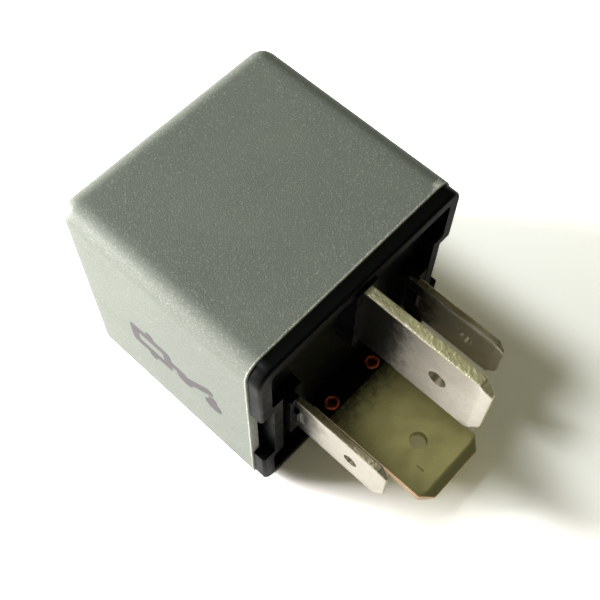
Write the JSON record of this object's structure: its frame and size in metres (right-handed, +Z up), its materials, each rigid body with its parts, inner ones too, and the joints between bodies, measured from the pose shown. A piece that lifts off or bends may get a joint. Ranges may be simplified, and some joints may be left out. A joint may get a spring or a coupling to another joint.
{
  "type": "automotive relay",
  "caption": "Plug-in electromagnetic relay: rounded plastic cover over a black base with flat blade terminals, coil, hinged armature and contacts inside.",
  "frame": {"origin": "middle of the bounding box, at the surface that the relay lies on", "axes": "+Z up through the side of the cover that lies uppermost, +Y towards the cover's closed end, so the blades point to -Y, +X across the two coil blades"},
  "size_m": [0.028, 0.0414, 0.028],
  "materials": {
    "cover_plastic": "fine matt grain, grey",
    "base_plastic": "matt black moulding",
    "tinned_brass": "dull tin plating with bare sheared edges",
    "copper": "bare copper",
    "steel": "zinc-plated soft iron",
    "bobbin_plastic": "natural moulding",
    "enamelled_wire": "glossy enamel on copper",
    "tape": "clear amber film",
    "solder": "bright solder",
    "spring_bronze": "rolled bronze strip",
    "contact_silver": "silver alloy",
    "spring_steel": "drawn wire",
    "resistor_lacquer": "lacquer with colour bands",
    "tinned_wire": "tinned wire"
  },
  "bodies": {
    "base_assembly": {"base": "base_plastic", "terminal_30": "tinned_brass", "terminal_87": "tinned_brass", "terminal_85": "tinned_brass", "terminal_86": "tinned_brass", "terminal_87_rivets": "copper", "yoke": "steel", "core": "steel", "bobbin": "bobbin_plastic", "winding": "enamelled_wire", "winding_tape": "tape", "coil_lead_85": "enamelled_wire", "coil_lead_86": "enamelled_wire", "solder_joints": "solder", "fixed_contact": "contact_silver", "back_stop": "tinned_brass", "return_spring": "spring_steel", "braid": "copper", "resistor_body": "resistor_lacquer", "resistor_lead_85": "tinned_wire", "resistor_lead_86": "tinned_wire"},
    "cover": {"cover": "cover_plastic"},
    "armature": {"armature": "steel", "contact_strip": "spring_bronze", "strip_rivets": "steel", "moving_contact": "contact_silver"}
  },
  "joints": [
    {"name": "cover_slide", "type": "slide", "parent": "base_assembly", "child": "cover", "axis": [0, 1, 0], "range_m": [0, 0.03]},
    {"name": "armature_hinge", "type": "hinge", "parent": "base_assembly", "child": "armature", "pos_m": [0, 0.0143, 0.0242], "axis": [-1, 0, 0], "range_deg": [0, 2.6], "stiffness_Nm_per_rad": 0.004, "springref_deg": -17.19, "deforming": ["return_spring", "braid"]}
  ]
}
